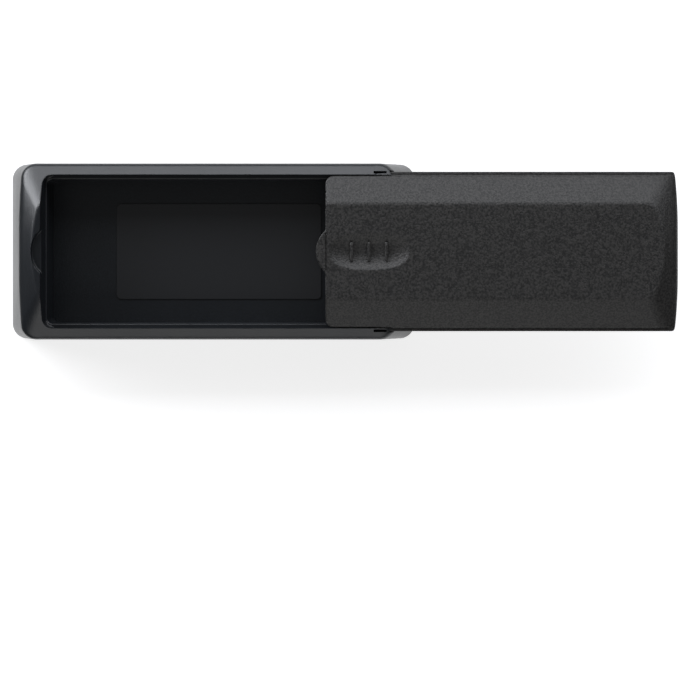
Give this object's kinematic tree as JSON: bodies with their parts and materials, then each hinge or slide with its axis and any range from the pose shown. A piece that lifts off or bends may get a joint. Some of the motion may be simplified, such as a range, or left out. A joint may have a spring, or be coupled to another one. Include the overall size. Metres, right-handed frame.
{
  "type": "magnetic key holder box",
  "caption": "Magnetic key box: a low moulded tray with a bevelled lid that slides in side rails, a thumb dish and tab on the lid, and magnets set flush in the back.",
  "frame": {"origin": "centre of the tray's flat back face, between the two magnets", "axes": "+X along the length, the way the lid slides open; +Y across the width; +Z away from the surface that the box clings to"},
  "size_m": [0.1868, 0.0498, 0.025],
  "materials": {
    "tray": "satin moulded, near black",
    "lid": "coarse moulded grain, near black",
    "label": "smooth black film",
    "magnet": "sintered ferrite, dark grey"
  },
  "bodies": {
    "tray": {"base_tray": "tray", "floor_label": "label", "magnet_left": "magnet", "magnet_right": "magnet"},
    "lid": {"sliding_lid": "lid"}
  },
  "joints": [
    {"name": "lid_slide", "type": "slide", "parent": "tray", "child": "lid", "axis": [1, 0, 0], "range_m": [-0.077, 0]}
  ]
}
